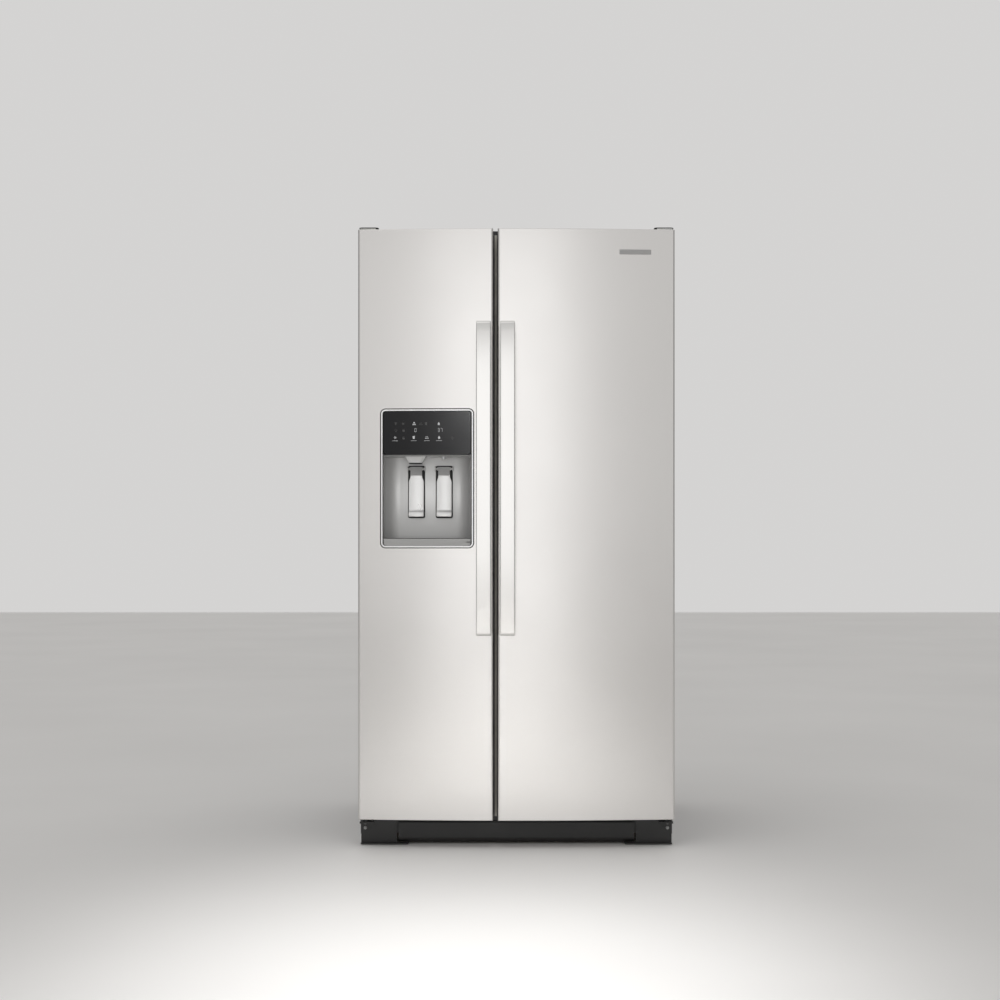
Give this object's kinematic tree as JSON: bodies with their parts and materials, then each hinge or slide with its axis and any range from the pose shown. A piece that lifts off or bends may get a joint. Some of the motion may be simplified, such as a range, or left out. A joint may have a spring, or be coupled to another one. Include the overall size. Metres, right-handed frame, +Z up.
{
  "type": "side by side refrigerator",
  "caption": "Side-by-side refrigerator-freezer with crowned steel doors, long flat bar handles and an ice and water dispenser in the freezer door.",
  "frame": {"origin": "on the floor, at the centre of the plan of the overall box", "axes": "+Z up, -Y the way the doors face, +X to the right of somebody facing the doors"},
  "size_m": [0.9, 0.857, 1.762],
  "materials": {
    "stainless": "satin stainless steel, pale and even",
    "handle_steel": "satin stainless steel, brighter than the doors",
    "cabinet_paint": "dark grey textured paint",
    "galvanised": "zinc-coated sheet",
    "zinc": "bright zinc plate",
    "bracket_black": "black enamel",
    "machine_black": "black enamel",
    "machine_cover_black": "fine texture",
    "liner_white": "smooth vacuum-formed plastic",
    "door_liner": "smooth vacuum-formed plastic",
    "foam": "rigid insulation foam, cream",
    "gasket": "matt dark grey vinyl",
    "black_plastic": "matt",
    "fan_black": "matt",
    "panel_black": "mirror-smooth black glass look",
    "dispenser_silver": "silver-grey lacquer",
    "lever_silver": "bright silver lacquer",
    "chute_grey": "smooth light grey",
    "clear_plastic": "clear",
    "shelf_glass": "clear tempered glass with light trim",
    "aluminium": "mill finish",
    "nylon": "natural nylon"
  },
  "bodies": {
    "cabinet": {"cabinet_wrapper": "cabinet_paint", "cabinet_foam": "foam", "freezer_liner": "liner_white", "fresh_food_liner": "liner_white", "back_panel": "galvanised", "machine_cover": "machine_cover_black", "evaporator_cover": "liner_white", "evaporator_coil": "aluminium", "icemaker": "liner_white", "freezer_shelf_upper": "shelf_glass", "freezer_shelf_lower": "shelf_glass", "fridge_shelf_upper": "shelf_glass", "fridge_shelf_middle": "shelf_glass", "crisper_cover": "shelf_glass", "base_frame": "galvanised", "base_grille": "black_plastic", "compressor": "machine_black", "condenser_coil": "aluminium", "lower_hinge_left": "bracket_black", "upper_hinge_left": "zinc", "hinge_cover_left": "black_plastic", "lower_hinge_right": "bracket_black", "upper_hinge_right": "zinc", "hinge_cover_right": "black_plastic"},
    "freezer_door": {"freezer_door_skin": "stainless", "freezer_door_inner": "door_liner", "freezer_door_gasket": "gasket", "freezer_door_handle": "handle_steel", "dispenser_housing": "dispenser_silver", "control_panel": "panel_black", "ice_chute": "chute_grey", "ice_bin": "clear_plastic", "freezer_bin_upper": "clear_plastic", "freezer_bin_lower": "clear_plastic"},
    "fridge_door": {"fridge_door_skin": "stainless", "fridge_door_inner": "door_liner", "fridge_door_gasket": "gasket", "fridge_door_handle": "handle_steel", "fridge_bin_upper": "clear_plastic", "fridge_bin_middle": "clear_plastic", "fridge_bin_lower": "clear_plastic"},
    "chute_flap": {"chute_flap": "black_plastic"},
    "ice_lever": {"ice_lever": "lever_silver"},
    "water_lever": {"water_lever": "lever_silver"},
    "drip_tray": {"drip_tray": "dispenser_silver"},
    "ice_auger": {"ice_auger": "aluminium"},
    "dairy_cover": {"dairy_cover": "clear_plastic"},
    "crisper_lower": {"crisper_lower": "clear_plastic"},
    "crisper_upper": {"crisper_upper": "clear_plastic"},
    "deli_drawer": {"deli_drawer": "clear_plastic"},
    "freezer_basket": {"freezer_basket": "clear_plastic"},
    "water_filter": {"water_filter": "liner_white"},
    "evaporator_fan": {"evaporator_fan": "fan_black"},
    "condenser_fan": {"condenser_fan": "fan_black"},
    "front_roller_left": {"front_roller_left": "nylon"},
    "front_roller_right": {"front_roller_right": "nylon"},
    "rear_roller_left": {"rear_roller_left": "nylon"},
    "rear_roller_right": {"rear_roller_right": "nylon"},
    "leveling_leg_left": {"leveling_leg_left": "zinc"},
    "leveling_leg_right": {"leveling_leg_right": "zinc"}
  },
  "joints": [
    {"name": "freezer_door_hinge", "type": "hinge", "parent": "cabinet", "child": "freezer_door", "pos_m": [-0.43, -0.33, 0.9], "axis": [0, 0, -1], "range_deg": [0, 120]},
    {"name": "fridge_door_hinge", "type": "hinge", "parent": "cabinet", "child": "fridge_door", "pos_m": [0.43, -0.33, 0.9], "axis": [0, 0, 1], "range_deg": [0, 120]},
    {"name": "freezer_basket_slide", "type": "slide", "parent": "cabinet", "child": "freezer_basket", "axis": [0, -1, 0], "range_m": [0, 0.255]},
    {"name": "crisper_lower_slide", "type": "slide", "parent": "cabinet", "child": "crisper_lower", "axis": [0, -1, 0], "range_m": [0, 0.255]},
    {"name": "crisper_upper_slide", "type": "slide", "parent": "cabinet", "child": "crisper_upper", "axis": [0, -1, 0], "range_m": [0, 0.255]},
    {"name": "deli_drawer_slide", "type": "slide", "parent": "cabinet", "child": "deli_drawer", "axis": [0, -1, 0], "range_m": [0, 0.255]},
    {"name": "water_filter_turn", "type": "hinge", "parent": "cabinet", "child": "water_filter", "pos_m": [0.352, 0, 1.642], "axis": [0, 1, 0], "range_deg": [0, 90]},
    {"name": "evaporator_fan_spin", "type": "hinge", "parent": "cabinet", "child": "evaporator_fan", "pos_m": [-0.23975, 0.346, 1.3], "axis": [0, 1, 0], "continuous": true},
    {"name": "condenser_fan_spin", "type": "hinge", "parent": "cabinet", "child": "condenser_fan", "pos_m": [-0.09, 0.3, 0.16], "axis": [1, 0, 0], "continuous": true},
    {"name": "front_roller_left_spin", "type": "hinge", "parent": "cabinet", "child": "front_roller_left", "pos_m": [-0.425, -0.228, 0.024], "axis": [1, 0, 0], "continuous": true},
    {"name": "front_roller_right_spin", "type": "hinge", "parent": "cabinet", "child": "front_roller_right", "pos_m": [0.425, -0.228, 0.024], "axis": [1, 0, 0], "continuous": true},
    {"name": "rear_roller_left_spin", "type": "hinge", "parent": "cabinet", "child": "rear_roller_left", "pos_m": [-0.425, 0.376, 0.021], "axis": [1, 0, 0], "continuous": true},
    {"name": "rear_roller_right_spin", "type": "hinge", "parent": "cabinet", "child": "rear_roller_right", "pos_m": [0.425, 0.376, 0.021], "axis": [1, 0, 0], "continuous": true},
    {"name": "leveling_leg_left_screw", "type": "slide", "parent": "cabinet", "child": "leveling_leg_left", "axis": [0, 0, -1], "range_m": [0, 0.012]},
    {"name": "leveling_leg_right_screw", "type": "slide", "parent": "cabinet", "child": "leveling_leg_right", "axis": [0, 0, -1], "range_m": [0, 0.012]},
    {"name": "ice_lever_pivot", "type": "hinge", "parent": "freezer_door", "child": "ice_lever", "pos_m": [-0.288, -0.292, 1.078], "axis": [1, 0, 0], "range_deg": [0, 8], "stiffness_Nm_per_rad": 1.5, "springref_deg": -5.73},
    {"name": "water_lever_pivot", "type": "hinge", "parent": "freezer_door", "child": "water_lever", "pos_m": [-0.208, -0.292, 1.078], "axis": [1, 0, 0], "range_deg": [0, 8], "stiffness_Nm_per_rad": 1.5, "springref_deg": -5.73},
    {"name": "chute_flap_hinge", "type": "hinge", "parent": "freezer_door", "child": "chute_flap", "pos_m": [-0.288, -0.296, 1.166], "axis": [1, 0, 0], "range_deg": [0, 55]},
    {"name": "drip_tray_slide", "type": "slide", "parent": "freezer_door", "child": "drip_tray", "axis": [0, -1, 0], "range_m": [0, 0.06]},
    {"name": "ice_auger_spin", "type": "hinge", "parent": "freezer_door", "child": "ice_auger", "pos_m": [-0.2525, -0.222, 1.302], "axis": [1, 0, 0], "continuous": true},
    {"name": "dairy_cover_hinge", "type": "hinge", "parent": "fridge_door", "child": "dairy_cover", "pos_m": [0.186, -0.301, 1.472], "axis": [1, 0, 0], "range_deg": [0, 80]}
  ],
  "couplings": [
    {"joint": "freezer_basket_slide", "follows": "freezer_door_hinge", "m_per_rad": 0.12},
    {"joint": "crisper_lower_slide", "follows": "fridge_door_hinge", "m_per_rad": 0.12},
    {"joint": "crisper_upper_slide", "follows": "fridge_door_hinge", "m_per_rad": 0.12},
    {"joint": "deli_drawer_slide", "follows": "fridge_door_hinge", "m_per_rad": 0.12},
    {"joint": "chute_flap_hinge", "follows": "ice_lever_pivot", "ratio": 6.5}
  ]
}
